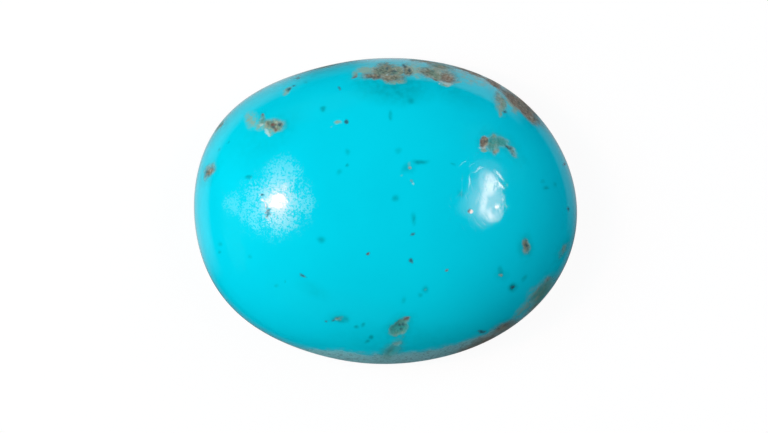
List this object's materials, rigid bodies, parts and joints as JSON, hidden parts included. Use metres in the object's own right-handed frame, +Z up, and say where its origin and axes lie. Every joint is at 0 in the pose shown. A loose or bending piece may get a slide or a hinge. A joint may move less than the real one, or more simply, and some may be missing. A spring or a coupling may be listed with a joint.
{
  "type": "turquoise cabochon",
  "caption": "Polished oval turquoise cabochon with a full domed crown, brown matrix flecks and shallow pits, a steep ground edge and a flat back to rest or set on.",
  "frame": {"origin": "middle of the flat back", "axes": "+Z up through the top of the dome, +X along the length of the oval, +Y across it"},
  "size_m": [0.0192, 0.0154, 0.0064],
  "materials": {
    "turquoise": "polished"
  },
  "bodies": {
    "root": {"stone": "turquoise"}
  },
  "joints": []
}
